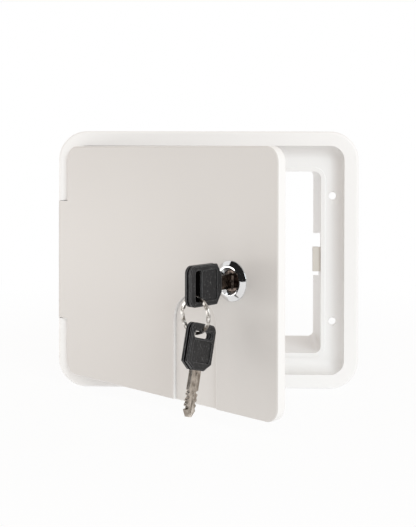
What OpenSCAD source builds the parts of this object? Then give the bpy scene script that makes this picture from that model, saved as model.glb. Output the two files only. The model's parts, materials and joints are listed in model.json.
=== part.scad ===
// Power cord hatch for a caravan wall: a wall frame with a collar, a hinged door, a cord flap,
// a quarter turn cam lock and two keys on a ring. The door stands open at rest.
// The wall is the plane Y = 0, the front faces -Y and the origin is the middle of the frame.

/* [Frame] */
// Width of the frame
frame_w = 178; // [150:1:240]
// Height of the frame
frame_h = 152.5; // [130:0.5:220]
// Outer corner radius of the frame
frame_corner_r = 17; // [12:0.5:24]
// How far the frame stands off the wall
frame_depth = 12.5; // [12:0.5:16]
// Width of the border round the door
border_w = 8.5; // [8:0.5:10]
// Rounding of the outer front edge of the frame
frame_edge_r = 1.6; // [0.8:0.1:2.2]
// Thickness of the shelf that lies on the wall
shelf_t = 2.5; // [2:0.1:3]
// Radius of the hollow corner between border and shelf
recess_fillet_r = 7; // [4:0.5:7]
// Wall thickness of the frame moulding
frame_wall = 2.2; // [1.8:0.1:2.6]
// Number of stiffening ribs behind each long border
border_ribs = 4; // [2:1:6]

/* [Collar] */
// Distance from each side of the frame to the opening
opening_side = 21.5; // [21:0.5:26]
// Distance from the top and the bottom of the frame to the opening, before it drops
opening_end = 21.75; // [20:0.25:26]
// How far the middle of the opening lies below the middle of the frame
opening_drop = 2.2; // [0:0.1:2.2]
// Corner radius of the opening
opening_r = 4; // [3:0.5:8]
// How far the collar reaches behind the wall face
collar_depth = 48; // [30:1:70]
// Wall thickness of the collar
collar_wall = 2; // [1.6:0.1:2.6]
// How much narrower the collar is on each side at its far end
collar_draft = 0.5; // [0:0.1:0.8]
// Width of the raised bead round the opening
bead_w = 2.6; // [2:0.1:3.2]
// Height of the raised bead above the shelf
bead_h = 0.9; // [0.4:0.1:1.2]

/* [Wall screws] */
// Distance of the screw holes from each side of the frame
screw_in = 14.5; // [14.3:0.1:14.6]
// Distance between the screw holes upwards
screw_span_z = 75.5; // [50:0.5:90]
// Diameter of the screw holes
screw_hole_d = 4.6; // [4:0.1:4.8]

/* [Keeper] */
// Height of the keeper that the cam turns behind
keeper_h = 14.6; // [12:0.2:16]
// How far the keeper reaches into the opening
keeper_reach = 4.7; // [3:0.1:4.8]
// Thickness of the keeper from front to back
keeper_t = 4; // [3:0.1:4]
// Height of the slot above the keeper
slot_above_h = 8.6; // [6:0.2:10]
// Height of the slot below the keeper
slot_below_h = 4.2; // [2.6:0.2:5]
// How much lower the slots lie at the far end of the collar
slot_fall = 4.4; // [0:0.2:5]

/* [Hinge] */
// Distance of the hinge pin from the outer edge of the frame
pin_in = 3.1; // [3:0.1:3.4]
// Diameter of a hinge pin
pin_d = 3; // [2.6:0.1:3]
// Length of a hinge pin
pin_len = 27; // [20:1:28]
// Radius of the hinge barrel
barrel_r = 3.6; // [3.4:0.1:3.7]
// Length of the hinge barrel
barrel_len = 69.6; // [50:0.2:80]
// Gap at each end of the barrel
barrel_end_gap = 0.35; // [0.3:0.05:0.5]
// Length of the pin boss in the frame
pin_boss_len = 14; // [10:0.5:14]
// Angle of the open door in the stored pose
door_open = 41; // [0:1:100]

/* [Door] */
// Gap between the door and the border
door_gap = 0.6; // [0.6:0.05:0.9]
// Depth of the door's rim
door_t = 6.1; // [5.6:0.1:6.3]
// Thickness of the door's face
door_face_t = 2.5; // [2.2:0.1:2.6]
// Wall thickness of the door's rim
door_wall = 2.4; // [1.8:0.1:2.6]
// Rounding of the door's front edge
door_front_r = 1; // [0.6:0.1:1.4]
// Rounding of the door's back edge
door_back_r = 1.2; // [1.1:0.1:1.4]
// Thickness of the door's ribs
rib_t = 1.4; // [1.2:0.1:1.8]
// Height of the door's ribs above the back of its face
rib_h = 2.6; // [1.6:0.1:3]

/* [Cord notch and flap] */
// Width of the notch
notch_w = 30.5; // [24:0.5:32]
// Distance from the lock's axis to the middle of the notch across
notch_to_lock = 25.4; // [25:0.1:40]
// How far the top of the notch's arch lies below the lock's axis
notch_below_lock = 9.15; // [9:0.05:20]
// How far the flap's front lies behind the door's face
flap_inset = 1.8; // [1.2:0.1:2]
// Gap round the flap in the notch
flap_gap = 0.35; // [0.3:0.05:0.5]
// Thickness of the flap's back plate
flap_t = 1.6; // [1.4:0.1:2]
// How far the flap's back plate reaches past the notch
flap_lap = 2.5; // [2:0.1:3]
// Diameter of the flap's pin
flap_pin_d = 2; // [1.8:0.1:2.2]
// Length of the flap's knuckle
flap_knuckle_len = 20; // [14:0.5:22]
// Length of each boss that holds the flap's pin
flap_boss_len = 4; // [3:0.5:4]

/* [Lock] */
// Distance from the free edge of the door to the lock's axis
lock_in = 30; // [28.8:0.1:31]
// Height of the lock's axis from the middle of the frame
lock_z = -0.5; // [-3:0.1:3]
// Diameter of the bezel where it meets the door
bezel_d = 20.4; // [19:0.1:21]
// Diameter of the bezel's front ring
bezel_front_d = 15.2; // [14.6:0.1:15.6]
// How far the bezel stands out from the door
bezel_out = 2.4; // [1.8:0.1:2.8]
// Diameter of the lock body's thread
body_d = 15.8; // [15.6:0.1:16]
// Width across the flats of the lock body
body_flats = 13.9; // [13.7:0.1:14.2]
// Length of the lock body behind the door's face
body_len = 14; // [13.8:0.1:14]
// Diameter of the plug
plug_d = 11.2; // [11:0.1:11.2]
// Running clearance of the plug in the body, on the radius
plug_gap = 0.07; // [0.04:0.01:0.1]
// How far the plug's face lies behind the bezel's front
plug_inset = 2.2; // [1.6:0.1:2.4]
// Number of wafers in the plug
wafer_count = 4; // [3:1:4]
// Width across the flats of the nut that clamps the lock
nut_af = 20; // [19:0.1:20.5]
// Thickness of the nut that clamps the lock
nut_t = 3.4; // [3:0.1:4]
// Reach of the cam from the lock's axis
cam_reach = 17; // [15.5:0.1:17]
// Width of the cam's arm
cam_w = 9; // [8:0.1:10]
// Thickness of the cam
cam_t = 2; // [1.6:0.1:2.4]
// Width of the plug's square tail
tail_w = 6.4; // [6:0.1:6.6]
// Diameter of the thread on the plug's end
tail_thread_d = 5.8; // [5:0.1:6]

/* [Keys] */
// Width of a key's bow
bow_w = 19.9; // [19:0.1:22]
// Length of a key's bow
bow_len = 22.3; // [20:0.1:24]
// Thickness of a key's bow
bow_t = 4.4; // [4.2:0.1:4.6]
// Width of the groove between the two shells of a bow
bow_groove = 1.3; // [1:0.1:1.6]
// Depth of the groove between the two shells of a bow
bow_groove_in = 1.2; // [0.8:0.1:1.4]
// Width of the ring slot in a bow
ring_slot_w = 3.2; // [3:0.1:3.6]
// Length of the ring slot in a bow
ring_slot_len = 14.5; // [12:0.1:15]
// Distance from the end of a bow to the middle of its ring slot
ring_slot_in = 5.4; // [5:0.1:6]
// Distance from the door's face to the bow of the key in the lock
bow_stand = 9.2; // [8.8:0.1:9.8]
// Length of a key's blade
blade_len = 22; // [21:0.1:22]
// Width of a key's blade
blade_w = 7.2; // [6.8:0.1:7.2]
// Thickness of a key's blade
blade_t = 2; // [1.8:0.1:2]
// Radius of the key ring to the middle of its wire
ring_r = 8.6; // [8.4:0.1:10]
// Width of the key ring's wire along its radius
ring_wire = 1.4; // [1.2:0.1:1.5]
// Radius at which the ring's centre hangs round the end bar of the bow's slot
ring_orbit = 5.4; // [5.2:0.1:5.4]
// Tilt of the spare key as it hangs
spare_tilt = 15; // [0:1:16]
// Turn of the spare key about the vertical
spare_turn = 7; // [0:1:10]
// Distance from the far edge of the spare key's slot down to the point where it balances
spare_balance = 18.2; // [17:0.01:19]

/* [Hidden] */
$fn = 48;
eps = 0.01;

// Frame values
recess_w = frame_w - 2 * border_w;
recess_h = frame_h - 2 * border_w;
recess_r = frame_corner_r - border_w;
recess_depth = frame_depth - shelf_t;
channel_in = border_w - frame_wall;
channel_depth = frame_depth - frame_wall;
opening_w = frame_w - 2 * opening_side;
opening_h = frame_h - 2 * opening_end;
collar_outer_w = opening_w + 2 * collar_wall;
collar_outer_h = opening_h + 2 * collar_wall;
collar_len = collar_depth + shelf_t;
bead_r = opening_r + bead_w;
screw_span_x = frame_w - 2 * screw_in;

// Hinge values, from the outer left edge of the frame and its front face
pin_x = -frame_w / 2 + pin_in;
pin_deep = barrel_r;
pin_y = -(frame_depth - pin_deep);
door_left = border_w + door_gap - pin_in;
barrel_gap = 0.4;
tab_half = barrel_len / 2 + barrel_end_gap;
swing_gap = 0.4;
tab_t = 2.6;
pin_held_gap = 0.02;
pin_run_gap = 0.08;

// Door values, from the hinge pin
door_w = recess_w - 2 * door_gap;
door_h = recess_h - 2 * door_gap;
door_r = recess_r - door_gap;
swing_reach = door_left + door_r;
door_mid_u = door_left + door_w / 2;
rim_inner_r = door_r - door_wall;

// Notch and flap values
lock_u = door_left + door_w - lock_in;
notch_u = lock_u - notch_to_lock;
notch_h = door_h / 2 + lock_z - notch_below_lock;
notch_r = notch_w / 2;
notch_spring_z = -door_h / 2 + notch_h - notch_r;
flap_plate_w = notch_w + 2 * flap_lap;
flap_plate_front = door_face_t + 0.15;
flap_knuckle_r = 2.2;
flap_pin_z = notch_spring_z + notch_r + 3.4;
flap_pin_deep = flap_plate_front + flap_knuckle_r;
flap_side_gap = 0.5;
boss_gap = 0.3;
boss_room_h = 20;
lap_rib_r = flap_plate_w / 2 + flap_side_gap + rib_t;

// Lock values, along the lock's axis from the door's face, negative behind it
lock_pad_r = 13.4;
lock_pad_t = 4;
stack_gap = 0.05;
washer_t = 0.6;
washer_r = 10.6;
nut_front = lock_pad_t + washer_t + 2 * stack_gap;
body_bore_r = plug_d / 2 + plug_gap;
plug_face = bezel_out - plug_inset;
plug_end = body_len + 0.15;
keyway_deep = bow_stand - blade_len - 0.3;
keyway_w = blade_t + 0.2;
keyway_h = blade_w + 0.3;
stop_front = plug_end + stack_gap;
stop_t = 1;
cam_front = stop_front + stop_t + 0.1;
cam_washer_t = 0.6;
cam_nut_t = 3.6;
cam_nut_front = cam_front + cam_t + cam_washer_t + 2 * stack_gap;
tail_end = cam_nut_front + cam_nut_t + 1;
square_end = cam_front + cam_t - 0.1;
thread_gap = 0.05;
wafer_t = 1.1;
wafer_w = 6.2;
wafer_pitch = 2.5;
wafer_first = 3.2;
wafer_drop = 0.45;
wafer_gap = 0.08;
wafer_half = plug_d / 2 - 0.35;
groove_deep = wafer_half + wafer_drop + 0.15;
lug_half_angle = 14;
lug_in = body_bore_r + 0.25;
lug_out = body_flats / 2 - 0.15;

// Keeper and slots, from the lock's axis and the front face of the frame
keeper_back = cam_front - 0.3;
keeper_front = keeper_back - keeper_t;
slot_above_front = keeper_back - 1.5;
slot_below_front = keeper_back + 8.5;
slot_rise = 1.5;

// Key values, from the shoulder of the bow
shell_t = (bow_t - bow_groove) / 2;
bow_edge = 0.8;
bow_far_r = 3.6;
bow_near_in = 3.4;
bow_near_w = 9;
slot_mid = bow_len - ring_slot_in;
tang_len = slot_mid - ring_slot_w / 2 - 2.2;
tang_w = 6;
panel_deep = 0.3;
slot_bevel = 0.4;
bits = [0.6, 1.1, 0.5, 1.6];
bit_pitch = 2.5;
first_bit = 4.2;
tip_len = 3;
tip_w = 2.6;
mill_w = 0.9;
mill_deep = 0.35;

// Ring and spare key values, in the lock's own axes
bar_mid = (ring_slot_len / 2 + bow_w / 2) / 2;
ring_y = -bar_mid - ring_orbit;
ring_z = bow_stand + slot_mid;
ring_inner = ring_r - ring_wire / 2;
ring_coil_t = 0.7;
ring_open = 14;
ring_cross = 4;
ring_seam = 0.15;
ring_sag = ring_inner - sqrt(ring_inner * ring_inner - bow_t * bow_t / 4);
spare_seat = ring_y - ring_inner + ring_sag + 0.35;
spare_shift = spare_balance * tan(spare_tilt);

// Turns a flat drawing so that its depth runs to the front and its height upwards
module upright() {
    rotate([90, 0, 0]) children();
}

// The door's own axes: x from the hinge pin, y upwards, z out of the door's face
module on_door() {
    translate([pin_x, pin_y, 0]) rotate([0, 0, -door_open]) upright()
        translate([0, 0, pin_deep]) children();
}

// The lock's own axes, with z along the lock out of the door's face
module on_lock() {
    on_door() translate([lock_u, lock_z, 0]) children();
}

// A rounded rectangle drawn flat
module round_rect(w, h, r) {
    square([w - 2 * r, h], center = true);
    square([w, h - 2 * r], center = true);
    for (x = [-1, 1], y = [-1, 1])
        translate([x * (w / 2 - r), y * (h / 2 - r)]) circle(r);
}

// A block on a rounded rectangle whose edge section is the child: x from the corner's centre, y its height
module edge_block(w, h, r) {
    for (x = [-1, 1], y = [-1, 1])
        translate([x * (w / 2 - r), y * (h / 2 - r), 0]) rotate_extrude() children();
    for (a = [0, 180]) {
        rotate([90, 0, 90 + a]) translate([h / 2 - r, 0, -(w / 2 - r)]) linear_extrude(w - 2 * r) children();
        rotate([90, 0, a]) translate([w / 2 - r, 0, -(h / 2 - r)]) linear_extrude(h - 2 * r) children();
    }
}

// Fills the middle of an edge block
module core_block(w, h, r, z0, z1) {
    translate([-(w / 2 - r), -(h / 2 - r), z0]) cube([w - 2 * r, h - 2 * r, z1 - z0]);
}

// Edge section with its low corner rounded by f_low and its high corner by f_high
module soft_section(r, t, f_low, f_high) {
    translate([0, f_low]) square([r, t - f_low - f_high]);
    square([r - f_low, t - f_high]);
    translate([0, f_low]) square([r - f_high, t - f_low]);
    if (f_low > 0) intersection() {
        translate([r - f_low, f_low]) circle(f_low);
        square([r, t]);
    }
    if (f_high > 0) intersection() {
        translate([r - f_high, t - f_high]) circle(f_high);
        square([r, t]);
    }
}

// A block with rounded corners and rounded low and high edges
module soft_block(w, h, r, t, f_low, f_high) {
    edge_block(w, h, r) soft_section(r, t, f_low, f_high);
    core_block(w, h, r, 0, t);
}

// A block with rounded corners whose far end at z = 0 is narrower by draft on each side
module draft_block(w, h, r, t, draft) {
    edge_block(w, h, r) polygon([[0, 0], [r - draft, 0], [r, t], [0, t]]);
    core_block(w, h, r, 0, t);
}

// A flat hexagon with the given width across flats
module hexagon(af) {
    circle(d = af / cos(30), $fn = 6);
}

// A flat ring sector between two radii, half its angle to each side of the angle a
module sector(r0, r1, a, half) {
    far = r1 / cos(half / 2) + 1;
    intersection() {
        difference() {
            circle(r1);
            circle(r0);
        }
        polygon([
            [0, 0],
            [far * cos(a - half), far * sin(a - half)],
            [far * cos(a), far * sin(a)],
            [far * cos(a + half), far * sin(a + half)],
        ]);
    }
}

// The frame without its openings, in front axes with the wall at z = 0
module frame_body() {
    difference() {
        soft_block(frame_w, frame_h, frame_corner_r, frame_depth, 0, frame_edge_r);
        translate([0, 0, shelf_t])
            soft_block(recess_w, recess_h, recess_r, recess_depth + 1, recess_fillet_r, 0);
        difference() {
            translate([0, 0, -1]) linear_extrude(channel_depth + 1) difference() {
                round_rect(frame_w - 2 * frame_wall, frame_h - 2 * frame_wall, frame_corner_r - frame_wall);
                round_rect(frame_w - 2 * channel_in, frame_h - 2 * channel_in, frame_corner_r - channel_in);
            }
            channel_ribs();
            hinge_bed();
        }
    }
}

// Ribs across the hollow behind the border
module channel_ribs() {
    for (i = [1:border_ribs], s = [-1, 1]) {
        x = -frame_w / 2 + i * frame_w / (border_ribs + 1);
        z = -frame_h / 2 + i * frame_h / (border_ribs + 1);
        translate([x - rib_t / 2, s > 0 ? frame_h / 2 - border_w : -frame_h / 2, 0])
            cube([rib_t, border_w, frame_depth]);
        translate([frame_w / 2 - border_w, z - rib_t / 2, 0]) cube([border_w, rib_t, frame_depth]);
    }
}

// Solid stretch of the left border that carries the hinge
module hinge_bed() {
    bed_half = tab_half + pin_boss_len;
    translate([-frame_w / 2, -bed_half, frame_wall]) cube([border_w, 2 * bed_half, frame_depth]);
}

// The cut in the left border that the hinge barrel turns in
module hinge_cut() {
    cut_floor = frame_depth - pin_deep - barrel_r - barrel_gap;
    translate([-frame_w / 2 - 1, -tab_half, cut_floor])
        cube([border_w + 1 + eps, 2 * tab_half, frame_depth]);
}

// The part of the border's inner edge that the door's outline sweeps through as it turns
module swing_relief() {
    translate([pin_x, 0, frame_depth - pin_deep]) intersection() {
        translate([0, -recess_h / 2, 0]) cube([swing_reach, recess_h, pin_deep + 1]);
        rotate([-90, 0, 0]) rotate_extrude() intersection() {
            translate([door_mid_u, 0])
                round_rect(door_w + 2 * swing_gap, door_h + 2 * swing_gap, door_r + swing_gap);
            translate([0, -frame_h / 2]) square([swing_reach + pin_deep, frame_h]);
        }
    }
}

module collar() {
    translate([0, -opening_drop, -collar_depth]) difference() {
        draft_block(collar_outer_w, collar_outer_h, opening_r + collar_wall, collar_len, collar_draft);
        translate([0, 0, -eps])
            draft_block(opening_w, opening_h, opening_r, collar_len + 2 * eps, collar_draft);
    }
}

module bead() {
    translate([0, -opening_drop, shelf_t]) difference() {
        soft_block(opening_w + 2 * bead_w, opening_h + 2 * bead_w, bead_r, bead_h, 0, 0.4);
        translate([0, 0, -1]) linear_extrude(bead_h + 2) round_rect(opening_w, opening_h, opening_r);
    }
}

// The block that the cam turns behind, with its upper back edge eased for the cam
module keeper() {
    wall_x = opening_w / 2;
    back_z = frame_depth - keeper_back;
    translate([wall_x - keeper_reach, lock_z - keeper_h / 2, back_z]) difference() {
        cube([keeper_reach + collar_wall / 2, keeper_h, keeper_t]);
        translate([-1, keeper_h, -1]) rotate([30, 0, 0]) translate([0, -1.5, -3])
            cube([keeper_reach + 2, 4, 3.4]);
    }
}

// Slots through the right wall of the collar above and below the keeper. They meet behind it and end at the far end.
module keeper_slots() {
    above = lock_z + keeper_h / 2;
    below = lock_z - keeper_h / 2;
    far_y = collar_depth + 1;
    above_y = slot_above_front - frame_depth;
    below_y = slot_below_front - frame_depth;
    translate([opening_w / 2 - collar_draft - 1, 0, 0]) rotate([0, 90, 0]) linear_extrude(collar_wall + 3) polygon([
        [above_y, above], [above_y, above + slot_above_h], [far_y, above + slot_above_h - slot_fall],
        [far_y, below - slot_below_h - slot_fall], [below_y, below - slot_below_h], [below_y, above - slot_rise],
    ]);
}

module frame() {
    color([0.95, 0.95, 0.945]) upright() difference() {
        union() {
            difference() {
                frame_body();
                translate([0, -opening_drop, -1]) linear_extrude(shelf_t + 2)
                    round_rect(opening_w + collar_wall, opening_h + collar_wall, opening_r);
            }
            collar();
            bead();
            keeper();
        }
        keeper_slots();
        hinge_cut();
        swing_relief();
        for (x = [-1, 1], z = [-1, 1]) translate([x * screw_span_x / 2, z * screw_span_z / 2, 0]) {
            translate([0, 0, -1]) cylinder(d = screw_hole_d, h = shelf_t + 4);
            translate([0, 0, shelf_t - 0.5]) cylinder(d1 = screw_hole_d, d2 = screw_hole_d + 1.4, h = 0.7);
        }
        for (s = [-1, 1]) translate([pin_x, s * (tab_half - 1), frame_depth - pin_deep])
            rotate([-90 * s, 0, 0]) cylinder(d = pin_d + 2 * pin_held_gap, h = pin_boss_len + 15);
    }
}

// One hinge pin, half in the frame's boss and half in the door's barrel
module hinge_pin(side) {
    color([0.75, 0.76, 0.78]) translate([pin_x, pin_y, side * (tab_half + pin_boss_len - 1.5)])
        rotate([side > 0 ? 180 : 0, 0, 0]) {
            translate([0, 0, 0.4]) cylinder(d = pin_d, h = pin_len - 0.8);
            cylinder(d1 = pin_d - 0.8, d2 = pin_d, h = 0.4);
            translate([0, 0, pin_len - 0.4]) cylinder(d1 = pin_d, d2 = pin_d - 0.8, h = 0.4);
        }
}

module hinge_pin_top() {
    hinge_pin(1);
}

module hinge_pin_bottom() {
    hinge_pin(-1);
}

// The door's face and rim, open at the back
module door_shell() {
    translate([door_mid_u, 0, -door_t]) difference() {
        soft_block(door_w, door_h, door_r, door_t, door_back_r, door_front_r);
        translate([0, 0, -1]) linear_extrude(door_t - door_face_t + 1)
            round_rect(door_w - 2 * door_wall, door_h - 2 * door_wall, rim_inner_r);
    }
}

// The arm and barrel that join the door to the hinge pins
module hinge_tab() {
    half = barrel_len / 2;
    translate([0, 0, -pin_deep]) rotate([90, 0, 0]) cylinder(r = barrel_r, h = barrel_len, center = true);
    translate([0, -half, -tab_t]) cube([door_left + door_front_r + 1, barrel_len, tab_t]);
}

// The arch of the notch, drawn flat, grown by g
module arch(g) {
    bottom = -door_h / 2 - 1;
    translate([notch_u, notch_spring_z]) circle(notch_r + g);
    translate([notch_u - notch_r - g, bottom]) square([notch_w + 2 * g, notch_spring_z - bottom]);
}

// Ribs behind the door's face
module door_ribs() {
    back = -door_face_t - rib_h;
    inner_h = door_h - 2 * door_wall;
    left_u = door_left + door_wall - eps;
    field_w = notch_u - lap_rib_r - left_u;
    right_u = lock_u + lock_pad_r;
    for (i = [1, 2]) translate([left_u + i * field_w / 3 - rib_t / 2, -inner_h / 2 - eps, back])
        cube([rib_t, inner_h + 2 * eps, rib_h + eps]);
    for (z = [-inner_h / 6, inner_h / 3])
        translate([left_u, z, back]) cube([(z < 0 ? field_w : door_w - 2 * door_wall + 2 * eps), rib_t, rib_h + eps]);
    translate([right_u - 1, lock_z - rib_t / 2, back])
        cube([door_left + door_w - door_wall - right_u + 1 + eps, rib_t, rib_h + eps]);
    translate([lock_u - rib_t / 2, lock_z + lock_pad_r - 1, back])
        cube([rib_t, inner_h / 2 - lock_z - lock_pad_r + 1 + eps, rib_h + eps]);
}

// The rib that guides the flap round the notch
module notch_rib() {
    translate([0, 0, -door_face_t - rib_h]) linear_extrude(rib_h + eps) difference() {
        intersection() {
            arch(flap_lap + flap_side_gap + rib_t);
            translate([0, -door_h / 2 + door_wall - eps]) square([2 * door_w, door_h]);
        }
        arch(flap_lap + flap_side_gap);
        translate([notch_u - flap_knuckle_len / 2 - flap_boss_len - 1, flap_pin_z - 7])
            square([flap_knuckle_len + 2 * flap_boss_len + 2, boss_room_h]);
    }
}

// The two bosses that hold the flap's pin
module flap_bosses() {
    u0 = flap_knuckle_len / 2 + boss_gap;
    for (s = [-1, 1]) translate([notch_u + s * (u0 + flap_boss_len / 2), flap_pin_z, 0]) {
        translate([0, 0, -flap_pin_deep]) rotate([0, 90, 0])
            cylinder(r = flap_knuckle_r, h = flap_boss_len, center = true);
        translate([-flap_boss_len / 2, -flap_knuckle_r, -flap_pin_deep])
            cube([flap_boss_len, 2 * flap_knuckle_r, flap_pin_deep - door_face_t + eps]);
    }
}

module door() {
    color([0.93, 0.925, 0.915]) on_door() difference() {
        union() {
            door_shell();
            hinge_tab();
            door_ribs();
            notch_rib();
            flap_bosses();
            translate([lock_u, lock_z, -lock_pad_t]) cylinder(r = lock_pad_r, h = lock_pad_t - door_face_t + eps);
        }
        translate([0, 0, -door_t - 1]) linear_extrude(door_t + 3) arch(0);
        translate([0, 0, -door_t - 3]) linear_extrude(door_t + 3 - door_face_t) intersection() {
            arch(flap_lap + flap_side_gap);
            translate([0, -door_h / 2 - 1]) square([2 * door_w, door_wall + 1]);
        }
        translate([lock_u, lock_z, -door_t]) linear_extrude(door_t + 2) intersection() {
            circle(d = body_d + 0.3);
            square([body_flats + 0.3, body_d + 2], center = true);
        }
        for (s = [-1, 1]) translate([0, s * (barrel_len / 2 - 16), -pin_deep])
            rotate([-90 * s, 0, 0]) cylinder(d = pin_d + 2 * pin_run_gap, h = 20);
        translate([notch_u, flap_pin_z, -flap_pin_deep]) rotate([0, 90, 0])
            cylinder(d = flap_pin_d + 2 * pin_held_gap, h = flap_knuckle_len + 2 * flap_boss_len + 4, center = true);
    }
}

// The flap: a front plug that fills the notch, a wider back plate and a knuckle on top
module cord_flap() {
    plate_back = flap_plate_front + flap_t;
    lip_h = door_wall - 0.2;
    lip_back = door_t - door_back_r;
    bottom = -door_h / 2;
    color([0.93, 0.925, 0.915]) on_door() difference() {
        union() {
            translate([0, 0, -plate_back]) linear_extrude(plate_back - flap_inset) flap_outline(-flap_gap);
            translate([0, 0, -plate_back]) linear_extrude(flap_t) flap_outline(flap_lap);
            translate([notch_u - notch_w / 2 + flap_gap, bottom, -lip_back])
                cube([notch_w - 2 * flap_gap, lip_h, lip_back - flap_plate_front]);
            translate([notch_u, flap_pin_z, -flap_pin_deep]) rotate([0, 90, 0])
                cylinder(r = flap_knuckle_r, h = flap_knuckle_len, center = true);
            translate([notch_u - flap_knuckle_len / 2, notch_spring_z + notch_r - 4, -plate_back])
                cube([flap_knuckle_len, flap_pin_z - notch_spring_z - notch_r + 4, flap_t]);
            for (x = [-1, 1]) translate([notch_u + x * notch_w / 4 - rib_t / 2, bottom + lip_h - eps, -plate_back - 1.4])
                cube([rib_t, notch_h - notch_r, 1.4 + eps]);
        }
        translate([notch_u, flap_pin_z, -flap_pin_deep]) rotate([0, 90, 0])
            cylinder(d = flap_pin_d + 2 * pin_run_gap, h = flap_knuckle_len + 2, center = true);
    }
}

// The flap's arch, cut off level with the bottom of the door
module flap_outline(g) {
    intersection() {
        arch(g);
        translate([0, -door_h / 2]) square([2 * door_w, door_h / 2 + flap_pin_z]);
    }
}

module flap_pin() {
    color([0.75, 0.76, 0.78]) on_door() translate([notch_u, flap_pin_z, -flap_pin_deep]) rotate([0, 90, 0])
        cylinder(d = flap_pin_d, h = flap_knuckle_len + 2 * flap_boss_len + 2 * boss_gap - 0.4, center = true);
}

// The lock's body: a cone bezel in front and a flat sided threaded barrel behind
module lock_housing() {
    front_r = bezel_front_d / 2;
    mouth_r = front_r - 0.7;
    color([0.8, 0.81, 0.83]) on_lock() difference() {
        union() {
            rotate_extrude() polygon([
                [0, 0], [bezel_d / 2, 0], [bezel_d / 2, 0.5], [front_r + 0.25, bezel_out - 0.1],
                [front_r, bezel_out], [0, bezel_out],
            ]);
            translate([0, 0, -body_len]) linear_extrude(body_len + eps) intersection() {
                circle(d = body_d);
                square([body_flats, body_d + 2], center = true);
            }
        }
        translate([0, 0, -body_len - 1]) cylinder(r = body_bore_r, h = body_len + bezel_out + 2);
        translate([0, 0, plug_face]) cylinder(r1 = body_bore_r, r2 = mouth_r, h = plug_inset + eps);
        for (a = [0, 90]) rotate(a) translate([-wafer_w / 2 - wafer_gap, -groove_deep, -body_len - 1])
            cube([wafer_w + 2 * wafer_gap, 2 * groove_deep, body_len + 1 - 1.5]);
        translate([0, 0, -body_len - 1]) linear_extrude(2)
            sector(body_bore_r - 0.2, body_d, -135, 45 + lug_half_angle + 2);
    }
}

module lock_washer() {
    teeth = 12;
    color([0.72, 0.73, 0.75]) on_lock() translate([0, 0, -lock_pad_t - stack_gap - washer_t])
        linear_extrude(washer_t) difference() {
            union() {
                circle(washer_r - 0.9);
                for (i = [1:teeth]) rotate(i * 360 / teeth) translate([washer_r - 1.6, -0.9]) square([1.6, 1.8]);
            }
            circle(d = body_d + 0.3);
        }
}

module lock_nut() {
    color([0.72, 0.73, 0.75]) on_lock() translate([0, 0, -nut_front - nut_t]) difference() {
        intersection() {
            linear_extrude(nut_t) hexagon(nut_af);
            union() {
                cylinder(d1 = nut_af, d2 = nut_af + 3.6, h = 0.8);
                translate([0, 0, 0.8]) cylinder(d = nut_af + 3.6, h = nut_t - 0.8);
            }
        }
        translate([0, 0, -1]) cylinder(d = body_d + 2 * thread_gap, h = nut_t + 2);
    }
}

// The plug, with its keyway, its wafer slots and its square tail with a threaded end
module lock_plug() {
    color([0.7, 0.69, 0.67]) on_lock() difference() {
        union() {
            translate([0, 0, -plug_end]) cylinder(d = plug_d, h = plug_end + plug_face - 0.3);
            translate([0, 0, plug_face - 0.3]) cylinder(d1 = plug_d, d2 = plug_d - 0.6, h = 0.3);
            translate([-tail_w / 2, -tail_w / 2, -square_end]) cube([tail_w, tail_w, square_end - plug_end + eps]);
            translate([0, 0, -tail_end]) cylinder(d = tail_thread_d, h = tail_end - square_end + eps);
        }
        translate([-keyway_w / 2, -keyway_h / 2, keyway_deep])
            cube([keyway_w, keyway_h, plug_face - keyway_deep + 1]);
        for (i = [0:wafer_count - 1])
            translate([-wafer_w / 2 - wafer_gap, -plug_d, -wafer_first - i * wafer_pitch - wafer_t / 2 - wafer_gap])
                cube([wafer_w + 2 * wafer_gap, 2 * plug_d, wafer_t + 2 * wafer_gap]);
    }
}

// Brass wafers that the key holds level with the plug, each with a window for the blade
module lock_wafers() {
    color([0.78, 0.62, 0.3]) on_lock() for (i = [0:wafer_count - 1])
        translate([0, 0, -wafer_first - i * wafer_pitch - wafer_t / 2]) linear_extrude(wafer_t) difference() {
            intersection() {
                square([wafer_w, 2 * wafer_half], center = true);
                circle(wafer_half + 0.2);
            }
            translate([0, -wafer_drop / 2]) square([blade_t + 0.5, blade_w + wafer_drop + 0.3], center = true);
        }
}

// The washer on the square tail whose lug stops the turn at each end
module stop_washer() {
    color([0.7, 0.71, 0.73]) on_lock() {
        translate([0, 0, -stop_front - stop_t]) linear_extrude(stop_t) difference() {
            circle(lug_out);
            square(tail_w + 0.2, center = true);
        }
        translate([0, 0, -stop_front - stop_t]) linear_extrude(stop_t + 0.85) sector(lug_in, lug_out, -90, lug_half_angle);
    }
}

// The cam, pointing up while the lock is open
module lock_cam() {
    hub_r = 7.4;
    color([0.73, 0.74, 0.76]) on_lock() translate([0, 0, -cam_front - cam_t]) linear_extrude(cam_t) difference() {
        union() {
            circle(hub_r);
            translate([-cam_w / 2, 0]) square([cam_w, cam_reach - 2]);
            translate([-cam_w / 2 + 2, 0]) square([cam_w - 4, cam_reach]);
            for (x = [-1, 1]) translate([x * (cam_w / 2 - 2), cam_reach - 2]) circle(2);
        }
        square(tail_w + 0.2, center = true);
    }
}

module cam_washer() {
    color([0.68, 0.69, 0.71]) on_lock() translate([0, 0, -cam_front - cam_t - stack_gap - cam_washer_t])
        linear_extrude(cam_washer_t) difference() {
            circle(5.4);
            circle(d = tail_thread_d + 0.4);
            translate([0, -0.4]) square([6, 0.8]);
        }
}

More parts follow.
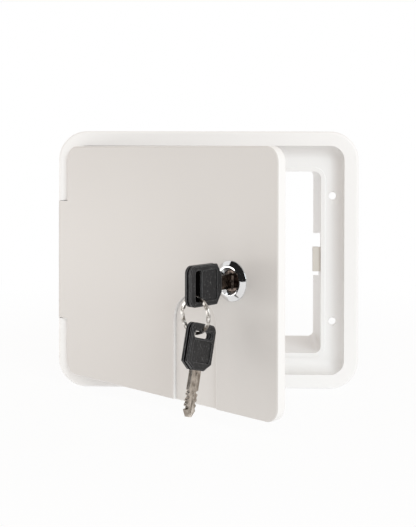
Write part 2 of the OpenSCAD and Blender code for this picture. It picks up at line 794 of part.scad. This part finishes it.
module cam_nut() {
    cam_nut_af = 10;
    color([0.72, 0.73, 0.75]) on_lock() translate([0, 0, -cam_nut_front - cam_nut_t]) difference() {
        intersection() {
            linear_extrude(cam_nut_t) hexagon(cam_nut_af);
            union() {
                cylinder(d1 = cam_nut_af, d2 = cam_nut_af + 1.8, h = 0.5);
                translate([0, 0, 0.5]) cylinder(d = cam_nut_af + 1.8, h = cam_nut_t - 0.5);
            }
        }
        translate([0, 0, -1]) cylinder(d = tail_thread_d + 2 * thread_gap, h = cam_nut_t + 2);
    }
}

// The blade's outline, drawn flat: y across, x from the bow's shoulder, blade to -x and tang to +x
module blade_outline() {
    half = blade_w / 2;
    cut_x = function (i) -blade_len + first_bit + i * bit_pitch;
    top = [for (i = [0:len(bits) - 1]) each [
        [cut_x(i) - 0.9, half], [cut_x(i) - 0.3, half - bits[i]],
        [cut_x(i) + 0.3, half - bits[i]], [cut_x(i) + 0.9, half],
    ]];
    low = [for (i = [len(bits) - 1:-1:0]) each [
        [cut_x(i) + 0.9, -half], [cut_x(i) + 0.3, -half + bits[len(bits) - 1 - i]],
        [cut_x(i) - 0.3, -half + bits[len(bits) - 1 - i]], [cut_x(i) - 0.9, -half],
    ]];
    tip = [[-blade_len + tip_len, -half], [-blade_len, -tip_w / 2], [-blade_len, tip_w / 2], [-blade_len + tip_len, half]];
    polygon(concat(tip, top, [[0, half]], [[0, tang_w / 2], [tang_len, tang_w / 2]],
        [[tang_len, -tang_w / 2], [0, -tang_w / 2], [0, -half]], low));
}

// One key blade with milled grooves, in key axes: y across, z along the key, x through its thickness
module blade() {
    difference() {
        rotate([0, -90, 0]) linear_extrude(blade_t, center = true) blade_outline();
        for (s = [-1, 1]) translate([s * (blade_t / 2 + 1 - mill_deep), 0, -blade_len / 2])
            cube([2, mill_w, blade_len - 2], center = true);
    }
}

// Outline of a bow, drawn flat, inset by g: x from the shoulder, y across
module bow_outline(g) {
    half = bow_w / 2 - g;
    near_half = bow_near_w / 2 - g;
    far = bow_len - g;
    far_r = bow_far_r - g / 2;
    polygon([
        [g, -near_half], [bow_near_in + g / 2, -half], [far - far_r, -half],
        [far - far_r, half], [bow_near_in + g / 2, half], [g, near_half],
    ]);
    translate([far - far_r - eps, -half + far_r]) square([far_r + eps, 2 * (half - far_r)]);
    for (s = [-1, 1]) translate([far - far_r, s * (half - far_r)]) circle(far_r);
}

// The ring slot, drawn flat, grown by g
module slot_outline(g) {
    translate([slot_mid, 0]) round_rect(ring_slot_w + 2 * g, ring_slot_len + 2 * g, ring_slot_w / 2 + g - eps);
}

// One shell of a bow on the +x side of the key, with its half of the groove and of the tang's pocket
module bow_shell() {
    step = bow_groove / 2;
    difference() {
        union() {
            rotate([0, -90, 0]) translate([0, 0, -step - eps]) linear_extrude(step + eps) bow_outline(bow_groove_in);
            rotate([0, -90, 0]) translate([0, 0, -bow_t / 2 + bow_edge / 2])
                linear_extrude(shell_t - bow_edge / 2) bow_outline(0);
            rotate([0, -90, 0]) translate([0, 0, -bow_t / 2]) linear_extrude(bow_edge) bow_outline(bow_edge / 2);
        }
        rotate([0, -90, 0]) translate([0, 0, -bow_t]) linear_extrude(2 * bow_t) slot_outline(0);
        for (i = [1, 2]) rotate([0, -90, 0]) translate([0, 0, -bow_t / 2 - 1])
            linear_extrude(1 + i * panel_deep) slot_outline((3 - i) * slot_bevel);
        rotate([0, -90, 0]) translate([0, 0, -bow_t / 2 - 1]) linear_extrude(1 + panel_deep)
            translate([tang_len / 2 + 2.4, 0]) round_rect(tang_len - 2.6, bow_w - 5, 1.4);
        translate([-1, -tang_w / 2 - 0.05, -1]) cube([1 + blade_t / 2 + 0.02, tang_w + 0.1, tang_len + 1.1]);
    }
}

// Where a key stands while it is in the lock
module key_in_lock() {
    on_lock() translate([0, 0, bow_stand]) children();
}

// Where the spare key hangs from the bottom of the ring
module key_on_ring() {
    on_lock() translate([0, spare_seat, ring_z]) rotate([0, spare_turn, 0]) rotate([-90 - spare_tilt, 0, 0])
        translate([0, spare_shift, -slot_mid - ring_slot_w / 2]) children();
}

module key_blade() {
    color([0.78, 0.76, 0.73]) key_in_lock() blade();
}

module key_bow_left() {
    color([0.1, 0.1, 0.105]) key_in_lock() mirror([1, 0, 0]) bow_shell();
}

module key_bow_right() {
    color([0.1, 0.1, 0.105]) key_in_lock() bow_shell();
}

module spare_key_blade() {
    color([0.78, 0.76, 0.73]) key_on_ring() blade();
}

module spare_key_bow_left() {
    color([0.1, 0.1, 0.105]) key_on_ring() mirror([1, 0, 0]) bow_shell();
}

module spare_key_bow_right() {
    color([0.1, 0.1, 0.105]) key_on_ring() bow_shell();
}

// A split ring of two flat coils with a seam between them, each open beside the place where the wire crosses over
module key_ring() {
    color([0.8, 0.79, 0.77]) on_lock() translate([0, ring_y, ring_z]) rotate(180) difference() {
        rotate_extrude() difference() {
            translate([ring_inner, -ring_coil_t]) square([ring_wire, 2 * ring_coil_t]);
            for (r = [ring_inner, ring_inner + ring_wire]) translate([r, 0]) circle(ring_seam, $fn = 4);
        }
        for (s = [-1, 1]) translate([0, 0, s > 0 ? 0 : -ring_coil_t - 1]) linear_extrude(ring_coil_t + 1)
            sector(ring_inner - 1, ring_inner + ring_wire + 1, s * (ring_open + ring_cross) / 2, ring_open / 2);
    }
}

frame();
door();
hinge_pin_top();
hinge_pin_bottom();
cord_flap();
flap_pin();
lock_housing();
lock_washer();
lock_nut();
lock_plug();
lock_wafers();
stop_washer();
lock_cam();
cam_washer();
cam_nut();
key_blade();
key_bow_left();
key_bow_right();
key_ring();
spare_key_blade();
spare_key_bow_left();
spare_key_bow_right();
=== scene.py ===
import json
import math

import bpy
from mathutils import Matrix, Vector


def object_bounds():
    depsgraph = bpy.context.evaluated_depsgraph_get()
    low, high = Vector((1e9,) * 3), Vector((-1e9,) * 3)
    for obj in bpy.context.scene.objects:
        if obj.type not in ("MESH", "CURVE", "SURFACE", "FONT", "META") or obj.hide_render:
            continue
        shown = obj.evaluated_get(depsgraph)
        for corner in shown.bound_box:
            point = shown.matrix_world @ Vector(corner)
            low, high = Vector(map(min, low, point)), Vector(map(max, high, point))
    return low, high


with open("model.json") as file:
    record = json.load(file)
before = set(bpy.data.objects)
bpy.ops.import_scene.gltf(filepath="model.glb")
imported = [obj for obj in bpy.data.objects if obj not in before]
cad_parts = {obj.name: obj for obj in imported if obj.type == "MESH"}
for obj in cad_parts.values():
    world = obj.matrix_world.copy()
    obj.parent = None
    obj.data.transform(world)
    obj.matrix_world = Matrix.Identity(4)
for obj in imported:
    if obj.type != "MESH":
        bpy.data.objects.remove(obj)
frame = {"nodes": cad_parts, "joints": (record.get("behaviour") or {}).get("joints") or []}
cad_box = [list(corner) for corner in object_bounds()]

# View of the photograph, in pixels of its 416 x 527 frame
IMAGE_SIZE = (416, 527)
FOCAL = 959.27
SIGHT_POINT = (208.0, 157.82)
SENSOR = 36.0
CAMERA_AT = Vector((0.01646, -0.58075, 0.06439))
YAW, PITCH, ROLL = 0.0292, 0.0068, -0.0021

# Lamps: the way from the hatch to each soft box, its distance and size in metres, its watts and its tint
KEY_FROM = Vector((0.42, -0.8, 0.4)).normalized()
KEY_DISTANCE, KEY_SIZE, KEY_POWER, KEY_TINT = 2.2, 1.18, 16.6, (0.935, 1.04, 1.1)
FILL_FROM = Vector((-0.95, -0.09, -0.24)).normalized()
FILL_DISTANCE, FILL_SIZE, FILL_POWER, FILL_TINT = 0.5, 0.3, 0.8, (1.0, 0.98, 0.95)

# The room's light on things, and its tint
AMBIENT, AMBIENT_TINT = 0.67, (1.0, 0.9, 0.825)

# The floor: its size and gap in metres, the glow with which it lights things, and where it fades to plain white
FLOOR_SIZE, FLOOR_GAP, FLOOR_GLOW = 6.0, 0.0002, 0.64
FLOOR_FADE, FLOOR_PLAIN = (0.12, 0.5), (0.93, 1.0)

# The dark card: the way to it from the lock, the way it runs, its distance, and its half length and width
CARD_TOWARDS, CARD_ALONG = Vector((-0.5, -0.48, 0.33)), Vector((-0.577, 1.169, 0.817))
CARD_DISTANCE, CARD_HALF = 1.0, (1.15, 0.6)
SQUARE = ((-1, -1), (1, -1), (1, 1), (-1, 1))
MM = 0.001

# Finishes: the painted highlight along plastic edges, the depth of moulded grain, and the marks on metal in a metre
# and their depth
PAINTED_EDGE_HIGHLIGHT = (0.985, 0.98, 0.97)
GRAIN_DEPTH = 0.00002
METAL_MARKS, METAL_DEPTH = 700.0, 0.000008

# The lock's axis, pointing into the hatch, and where it meets the door's face
JOINTS = {joint["name"]: joint for joint in frame["joints"]}
LOCK_IN = Vector(JOINTS["lock_turn"]["axis"])
LOCK_AT = Vector(JOINTS["lock_turn"]["pos_m"])
RIGHT, UP = Vector((1, 0, 0)), Vector((0, 0, 1))
ALONG_DOOR = LOCK_IN.cross(UP)

# The ring slot of the key in the lock, painted black as shade: its distance from the door's face, and its half width,
# length and depth
SLOT_OUT, SLOT_HALF = 26.1 * MM, (1.7 * MM, 7.4 * MM, 1.9 * MM)

# The keeper's middle, the thread of the lock's body, and the thickness of the door's face
KEEPER_AT = Vector((65.1 * MM, 0, LOCK_AT.z))
THREAD_PITCH = 1.0 * MM
DOOR_FACE_T = 2.5 * MM


class Value:
    """A shader value. Its operators add Math nodes to the tree that it belongs to."""

    def __init__(self, nodes, socket):
        self.nodes, self.socket = nodes, socket

    def math(self, operation, *values):
        return self.nodes.add("ShaderNodeMath", {"operation": operation}, dict(enumerate(values)))

    def __add__(self, other):
        return self.math("ADD", self, other)

    def __sub__(self, other):
        return self.math("SUBTRACT", self, other)

    def __rsub__(self, other):
        return self.math("SUBTRACT", other, self)

    def __mul__(self, other):
        return self.math("MULTIPLY", self, other)

    def __gt__(self, other):
        return self.math("GREATER_THAN", self, other)

    def either(self, other):
        return self.math("MAXIMUM", self, other)

    def within(self, reach, centre=0.0):
        """1 where the value is at most reach from the centre"""
        return self.math("COMPARE", self, centre, reach)

    __radd__, __rmul__ = __add__, __mul__


class Nodes:
    """A shader tree with one way to add a node: its type, its settings, then its sockets' values or links."""

    def __init__(self, owner):
        owner.use_nodes = True
        self.tree = owner.node_tree
        self.tree.nodes.clear()

    def add(self, kind, settings=None, sockets=None, output=0):
        made = self.tree.nodes.new(kind)
        for key, value in (settings or {}).items():
            setattr(made, key, value)
        for key, value in (sockets or {}).items():
            if isinstance(value, Value):
                self.tree.links.new(value.socket, made.inputs[key])
            else:
                made.inputs[key].default_value = value
        return Value(self, made.outputs[output])

    def spot(self):
        """The place on the piece, in its own frame at rest"""
        return self.add("ShaderNodeTexCoord", output="Object")

    def dot(self, one, other):
        return self.add("ShaderNodeVectorMath", {"operation": "DOT_PRODUCT"}, {0: one, 1: other}, "Value")

    def noise(self, scale, detail, stretch=(1, 1, 1)):
        """Soft noise with so many marks in a metre, drawn out along an axis whose stretch is small"""
        place = self.add("ShaderNodeMapping", None, {"Vector": self.spot(), "Scale": stretch})
        return self.add("ShaderNodeTexNoise", None, {"Vector": place, "Scale": scale, "Detail": detail})

    def blend(self, mask, low, high):
        """A colour that goes from low to high with the mask"""
        low, high = (shade if isinstance(shade, Value) else (*shade, 1) for shade in (low, high))
        return self.add("ShaderNodeMix", {"data_type": "RGBA"}, {"Factor": mask, 6: low, 7: high}, output=2)

    def ramp(self, value, start, stop, low=0.0, high=1.0):
        """Stretches a value so that start becomes low and stop becomes high"""
        return self.add("ShaderNodeMapRange", {"interpolation_type": "SMOOTHSTEP"},
                        {"Value": value, "From Min": start, "From Max": stop, "To Min": low, "To Max": high})

    def along(self, axis, start):
        """Distance in metres from a start point along an axis"""
        return self.dot(self.spot(), axis) - start.dot(axis)

    def soft_edges(self, radius):
        return self.add("ShaderNodeBevel", {"samples": 6}, {"Radius": radius})

    def edge_mask(self, radius, gain):
        """Goes from 0 on a flat face to 1 along its edges"""
        straight = self.add("ShaderNodeNewGeometry", output="Normal")
        level = self.dot(self.soft_edges(radius), straight)
        return self.add("ShaderNodeMath", {"operation": "MULTIPLY", "use_clamp": True}, {0: 1 - level, 1: gain})

    def bump(self, height, depth, edges):
        return self.add("ShaderNodeBump", None,
                        {"Height": height, "Strength": 1.0, "Distance": depth, "Normal": edges})

    def glow(self, shade, strength=1.0, kind="ShaderNodeEmission"):
        return self.add(kind, None, {"Color": (*shade, 1), "Strength": strength})

    def matte(self, shade):
        return self.add("ShaderNodeBsdfDiffuse", None, {"Color": (*shade, 1)})

    def mix(self, share, low, high):
        return self.add("ShaderNodeMixShader", None, {0: share, 1: low, 2: high})

    def surface(self, sockets):
        self.end(self.add("ShaderNodeBsdfPrincipled", None, sockets))

    def end(self, shader, kind="ShaderNodeOutputMaterial"):
        out = self.tree.nodes.new(kind)
        self.tree.links.new(shader.socket, out.inputs["Surface"])


def finish_of(name):
    """A new material and its nodes"""
    material = bpy.data.materials.new(name)
    return material, Nodes(material)


def door_sides(n):
    """1 on the door's edges and on the walls of its notch, which look along the face; they are painted lighter than
    the face as the light that falls on them
    """
    normal = n.add("ShaderNodeTexCoord", output="Normal")
    facing = n.dot(normal, LOCK_IN)
    return n.ramp(n.along(LOCK_IN, LOCK_AT), 0.1 * MM, 0.5 * MM) * facing.within(0.6)


def keeper(n):
    """1 on the keeper that stands in the frame's opening, which is painted darker as shade"""
    return n.along(RIGHT, KEEPER_AT).within(2.3 * MM) * n.along(UP, KEEPER_AT).within(7.4 * MM)


def moulded_plastic(name, low, high, grain, rough, patch=None, shade=None):
    """Smooth moulded plastic: a faint cloudy tint, a fine grain, softened edges with a painted highlight, and a patch
    in another tone, painted as light on the door's sides and as shade on the keeper
    """
    material, n = finish_of(name)
    cloud = n.noise(9.0, 3.0)
    fine = n.noise(grain, 2.0)
    # Edges are painted near white as a highlight where their rounding catches the light
    tint = n.blend(n.edge_mask(0.7 * MM, 5.0), n.blend(cloud, low, high), PAINTED_EDGE_HIGHLIGHT)
    if patch:
        tint = n.blend(patch(n), tint, shade)
    n.surface({"Base Color": tint, "Roughness": rough + 0.14 * cloud,
               "Normal": n.bump(fine, GRAIN_DEPTH, n.soft_edges(0.2 * MM))})
    return material


def black_grip():
    """Black key plastic with a spark-eroded grain, small light specks, a painted highlight along its edges, and
    painted shade that turns its recesses and the ring slot black
    """
    material, n = finish_of("key_bow_black")
    grain = n.noise(1500.0, 3.0)
    wear = n.noise(160.0, 4.0)
    face = n.blend(wear, (0.004, 0.004, 0.005), (0.02, 0.02, 0.021))
    face = n.blend(n.ramp(n.noise(1300.0, 2.0), 0.6, 0.7), face, (0.1, 0.1, 0.1))
    plain = n.add("ShaderNodeBsdfPrincipled", None, {
        # Edges are painted grey as a highlight
        "Base Color": n.blend(n.edge_mask(0.5 * MM, 4.0), face, (0.2, 0.2, 0.205)),
        "Specular IOR Level": 0.3,
        "Roughness": 0.24 + 0.2 * grain,
        "Normal": n.bump(grain, 0.0002, n.soft_edges(0.35 * MM))})
    # Recesses found by ambient occlusion, and the ring slot, are painted pitch black as shade
    painted_shade_black = n.matte((0.003, 0.003, 0.003))
    open_to_light = n.add("ShaderNodeAmbientOcclusion", {"samples": 8, "only_local": True},
                          {"Distance": 2.5 * MM}, "AO")
    shown = n.ramp(open_to_light, 0.6, 0.9) * (1 - ring_slot(n))
    n.end(n.mix(shown, painted_shade_black, plain))
    return material


def painted_keyway_highlight(n):
    """1 on the strip beside the keyway in the plug's face, which is painted bright as a highlight"""
    across, height = n.along(ALONG_DOOR, LOCK_AT), n.along(UP, LOCK_AT)
    return across.within(0.45 * MM, 1.1 * MM) * height.within(3.1 * MM, -0.3 * MM)


def ring_slot(n):
    """1 on the walls of the ring slot of the key in the lock, which are painted black as shade"""
    places = (n.along(LOCK_IN, LOCK_AT), n.along(UP, LOCK_AT), n.along(ALONG_DOOR, LOCK_AT))
    middle = (-SLOT_OUT, 0.0, 0.0)
    wide, long, deep = (place.within(half, centre) for place, half, centre in zip(places, SLOT_HALF, middle))
    return wide * long * deep


def metal(name, low, high, rough, streak=(1, 1, 1), patches=90.0, with_painted_highlight=False):
    """Plated or ground metal with fine marks along one direction and darker patches: stains on most parts, painted
    reflection on the key ring
    """
    material, n = finish_of(name)
    marks = n.noise(METAL_MARKS, 3.0, streak)
    # Stains, and on the key ring painted reflections
    stain_and_painted_reflection = n.ramp(n.noise(patches, 3.0), 0.35, 0.65)
    tint = n.blend(stain_and_painted_reflection, low, high)
    # The strip beside the keyway is painted near white as a highlight
    if with_painted_highlight:
        tint = n.blend(painted_keyway_highlight(n), tint, (0.97, 0.96, 0.94))
    n.surface({"Base Color": tint, "Metallic": 1.0, "Roughness": rough + 0.12 * marks,
               "Normal": n.bump(marks, METAL_DEPTH, n.soft_edges(0.2 * MM))})
    return material


def threaded_chrome():
    """Bright chrome on the bezel, and a cut thread on the body behind the door"""
    material, n = finish_of("bezel_chrome")
    deep = n.along(LOCK_IN, LOCK_AT)
    behind = deep > DOOR_FACE_T
    thread = deep.math("PINGPONG", deep, THREAD_PITCH / 2) * behind
    haze = n.noise(260.0, 3.0)
    n.surface({"Base Color": n.blend(haze, (0.7, 0.7, 0.7), (0.78, 0.78, 0.78)), "Metallic": 1.0,
               "Roughness": 0.04 + 0.05 * haze + 0.2 * behind,
               "Normal": n.bump(thread, 1.0, n.soft_edges(0.25 * MM))})
    return material


def give(material, *nodes):
    for name in nodes:
        node = frame["nodes"][name]
        node.data.materials.clear()
        node.data.materials.append(material)


def make_camera():
    lens = FOCAL / max(IMAGE_SIZE) * SENSOR
    data = bpy.data.cameras.new("camera")
    data.lens, data.sensor_width = lens, SENSOR
    data.clip_start, data.clip_end = 0.01, 20.0
    data.shift_y = (SIGHT_POINT[1] - IMAGE_SIZE[1] / 2) / max(IMAGE_SIZE)
    forward = Vector((-math.sin(YAW) * math.cos(PITCH), math.cos(YAW) * math.cos(PITCH), -math.sin(PITCH)))
    right = Vector((math.cos(YAW), math.sin(YAW), 0))
    down = forward.cross(right)
    right, down = (right * math.cos(ROLL) + down * math.sin(ROLL), down * math.cos(ROLL) - right * math.sin(ROLL))
    camera = bpy.data.objects.new("camera", data)
    camera.matrix_world = Matrix.Translation(CAMERA_AT) @ Matrix((right, -down, -forward)).transposed().to_4x4()
    bpy.context.scene.collection.objects.link(camera)
    bpy.context.scene.camera = camera


def soft_box(name, direction, distance, size, power, tint):
    data = bpy.data.lights.new(name, "AREA")
    data.size, data.energy, data.color = size, power, tint
    lamp = bpy.data.objects.new(name, data)
    lamp.location = direction * distance
    lamp.rotation_mode = "QUATERNION"
    lamp.rotation_quaternion = direction.to_track_quat("Z", "Y")
    bpy.context.scene.collection.objects.link(lamp)


def seen_plainly(n):
    """1 for what the camera sees itself, in metal or through glass, and 0 for the light that falls on things"""
    path = n.tree.nodes.new("ShaderNodeLightPath")
    rays = [Value(n, path.outputs[key]) for key in ("Is Camera Ray", "Is Glossy Ray", "Is Transmission Ray")]
    return rays[0].either(rays[1]).either(rays[2])


def sheet(name, corners):
    """A flat sheet with four corners"""
    mesh = bpy.data.meshes.new(name)
    mesh.from_pydata(corners, [], [(0, 1, 2, 3)])
    made = bpy.data.objects.new(name, mesh)
    bpy.context.scene.collection.objects.link(made)
    return made


def dark_card():
    """A dark card above and beside the camera, which only metal and gloss can see"""
    centre, up = CARD_TOWARDS.normalized(), CARD_ALONG.normalized()
    side = centre.cross(up).normalized()
    up = side.cross(centre)
    card = sheet("dark_card", [LOCK_AT + CARD_DISTANCE * (centre + a * CARD_HALF[0] * up + b * CARD_HALF[1] * side)
                               for a, b in SQUARE])
    card.visible_camera = card.visible_diffuse = card.visible_shadow = card.visible_transmission = False
    material, n = finish_of("card_black")
    n.end(n.glow((0.02, 0.02, 0.02)))
    card.data.materials.append(material)


def make_room():
    world = bpy.data.worlds.new("white_room")
    bpy.context.scene.world = world
    n = Nodes(world)
    warm = n.glow(AMBIENT_TINT, AMBIENT, "ShaderNodeBackground")
    white = n.glow((1, 1, 1), kind="ShaderNodeBackground")
    n.end(n.mix(seen_plainly(n), warm, white), "ShaderNodeOutputWorld")

    low, half = cad_box[0][2] - FLOOR_GAP, FLOOR_SIZE / 2
    floor = sheet("floor", [(half * a, half * b, low) for a, b in SQUARE])
    material, n = finish_of("pale_floor")
    far = n.add("ShaderNodeVectorMath", {"operation": "LENGTH"}, {0: n.spot()}, output="Value")
    spread = n.ramp(far, *FLOOR_FADE, *FLOOR_PLAIN)
    plain, matte = n.glow((1, 1, 1)), n.matte((0.93, 0.93, 0.93))
    n.end(n.mix((seen_plainly(n) * spread).either(FLOOR_GLOW), matte, plain))
    floor.data.materials.append(material)


make_camera()
make_room()
dark_card()
soft_box("key_light", KEY_FROM, KEY_DISTANCE, KEY_SIZE, KEY_POWER, KEY_TINT)
soft_box("fill_light", FILL_FROM, FILL_DISTANCE, FILL_SIZE, FILL_POWER, FILL_TINT)
bpy.context.scene.view_settings.view_transform = "Standard"

# The frame's keeper, deep in the opening, is painted darker and warmer as shade
give(moulded_plastic("frame_white", (0.905, 0.901, 0.894), (0.93, 0.926, 0.919), 900.0, 0.34,
                     keeper, (0.69, 0.655, 0.6)), "frame")
# The door and the flap are the frame's white plastic, painted darker as the shade on their faces; the door's sides
# are painted light
give(moulded_plastic("door_white", (0.69, 0.673, 0.652), (0.748, 0.731, 0.71), 700.0, 0.36,
                     door_sides, (0.915, 0.91, 0.9)), "door")
give(moulded_plastic("flap_white", (0.74, 0.725, 0.705), (0.8, 0.785, 0.765), 700.0, 0.36), "cord_flap")
give(metal("pin_steel", (0.62, 0.63, 0.65), (0.7, 0.71, 0.73), 0.22, (1, 1, 0.1)),
     "hinge_pin_top", "hinge_pin_bottom", "flap_pin")
give(threaded_chrome(), "lock_housing")
# The plug's zinc is painted near black as the shade and dark reflections in its recess
give(metal("plug_zinc_painted_shade", (0.02, 0.016, 0.014), (0.12, 0.095, 0.082), 0.12, patches=650.0, with_painted_highlight=True), "lock_plug")
give(metal("zinc_plate", (0.62, 0.64, 0.66), (0.74, 0.75, 0.76), 0.26),
     "lock_washer", "lock_nut", "stop_washer", "lock_cam", "cam_washer", "cam_nut")
give(metal("wafer_brass", (0.66, 0.47, 0.18), (0.78, 0.6, 0.28), 0.28), "lock_wafers")
# Both keys share one steel; the blade in the lock is painted darker as shade
give(metal("key_steel", (0.3, 0.26, 0.22), (0.66, 0.6, 0.54), 0.2, (1, 1, 0.08), patches=260.0), "spare_key_blade")
give(metal("key_steel_painted_shade", (0.04, 0.032, 0.026), (0.2, 0.16, 0.135), 0.2, (1, 1, 0.08), patches=400.0), "key_blade")
# The ring's dark and light patches are painted reflections on its nickel
give(metal("ring_nickel", (0.12, 0.1, 0.08), (0.85, 0.82, 0.78), 0.1, patches=320.0), "key_ring")
give(black_grip(), "key_bow_left", "key_bow_right", "spare_key_bow_left", "spare_key_bow_right")
